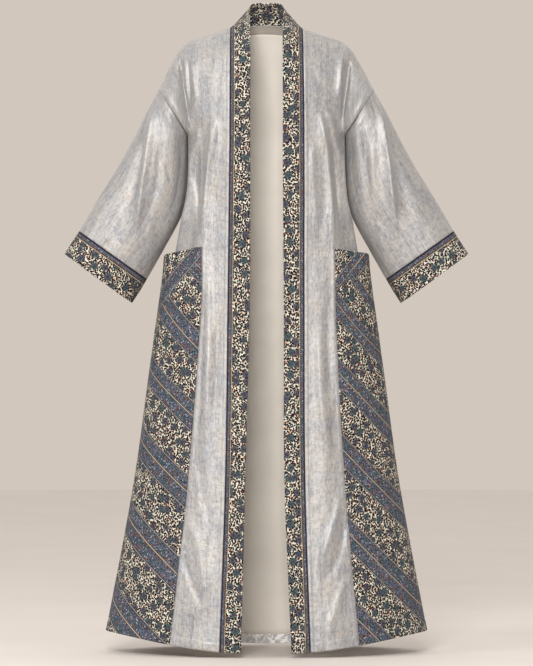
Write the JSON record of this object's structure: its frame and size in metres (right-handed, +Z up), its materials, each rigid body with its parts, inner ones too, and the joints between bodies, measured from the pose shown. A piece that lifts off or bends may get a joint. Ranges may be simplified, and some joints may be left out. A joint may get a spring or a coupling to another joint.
{
  "type": "abaya robe",
  "caption": "Long open-front abaya robe with wide dropped sleeves, patterned front bands, cuffs and side panels, hollow and filled out as if worn.",
  "frame": {"origin": "midway between the neck ends of the two shoulder seams, where the robe is held", "axes": "+Z up the wearer's back, -Y out of the open front, +X towards the wearer's left"},
  "size_m": [0.8888, 0.3772, 1.4272],
  "materials": {
    "grey_cloth": "mottled silver-grey slub cloth with a soft sheen",
    "plain_lining": "plain grey-beige lining",
    "floral_print": "small cream, plum and teal floral print with slate-blue stripes"
  },
  "bodies": {
    "root": {"back": "grey_cloth", "back_lining": "plain_lining", "back_hem_turnup": "grey_cloth", "neck_tape": "plain_lining", "front_right": "grey_cloth", "front_left": "grey_cloth", "front_skirt_right": "grey_cloth", "front_skirt_left": "grey_cloth", "sleeve_right": "grey_cloth", "sleeve_left": "grey_cloth", "cuff_right": "floral_print", "cuff_left": "floral_print", "front_band_right": "floral_print", "front_band_left": "floral_print", "shoulder_band_right": "floral_print", "shoulder_band_left": "floral_print", "collar_right": "floral_print", "collar_left": "floral_print", "side_panel_right": "floral_print", "side_panel_left": "floral_print"}
  },
  "joints": []
}
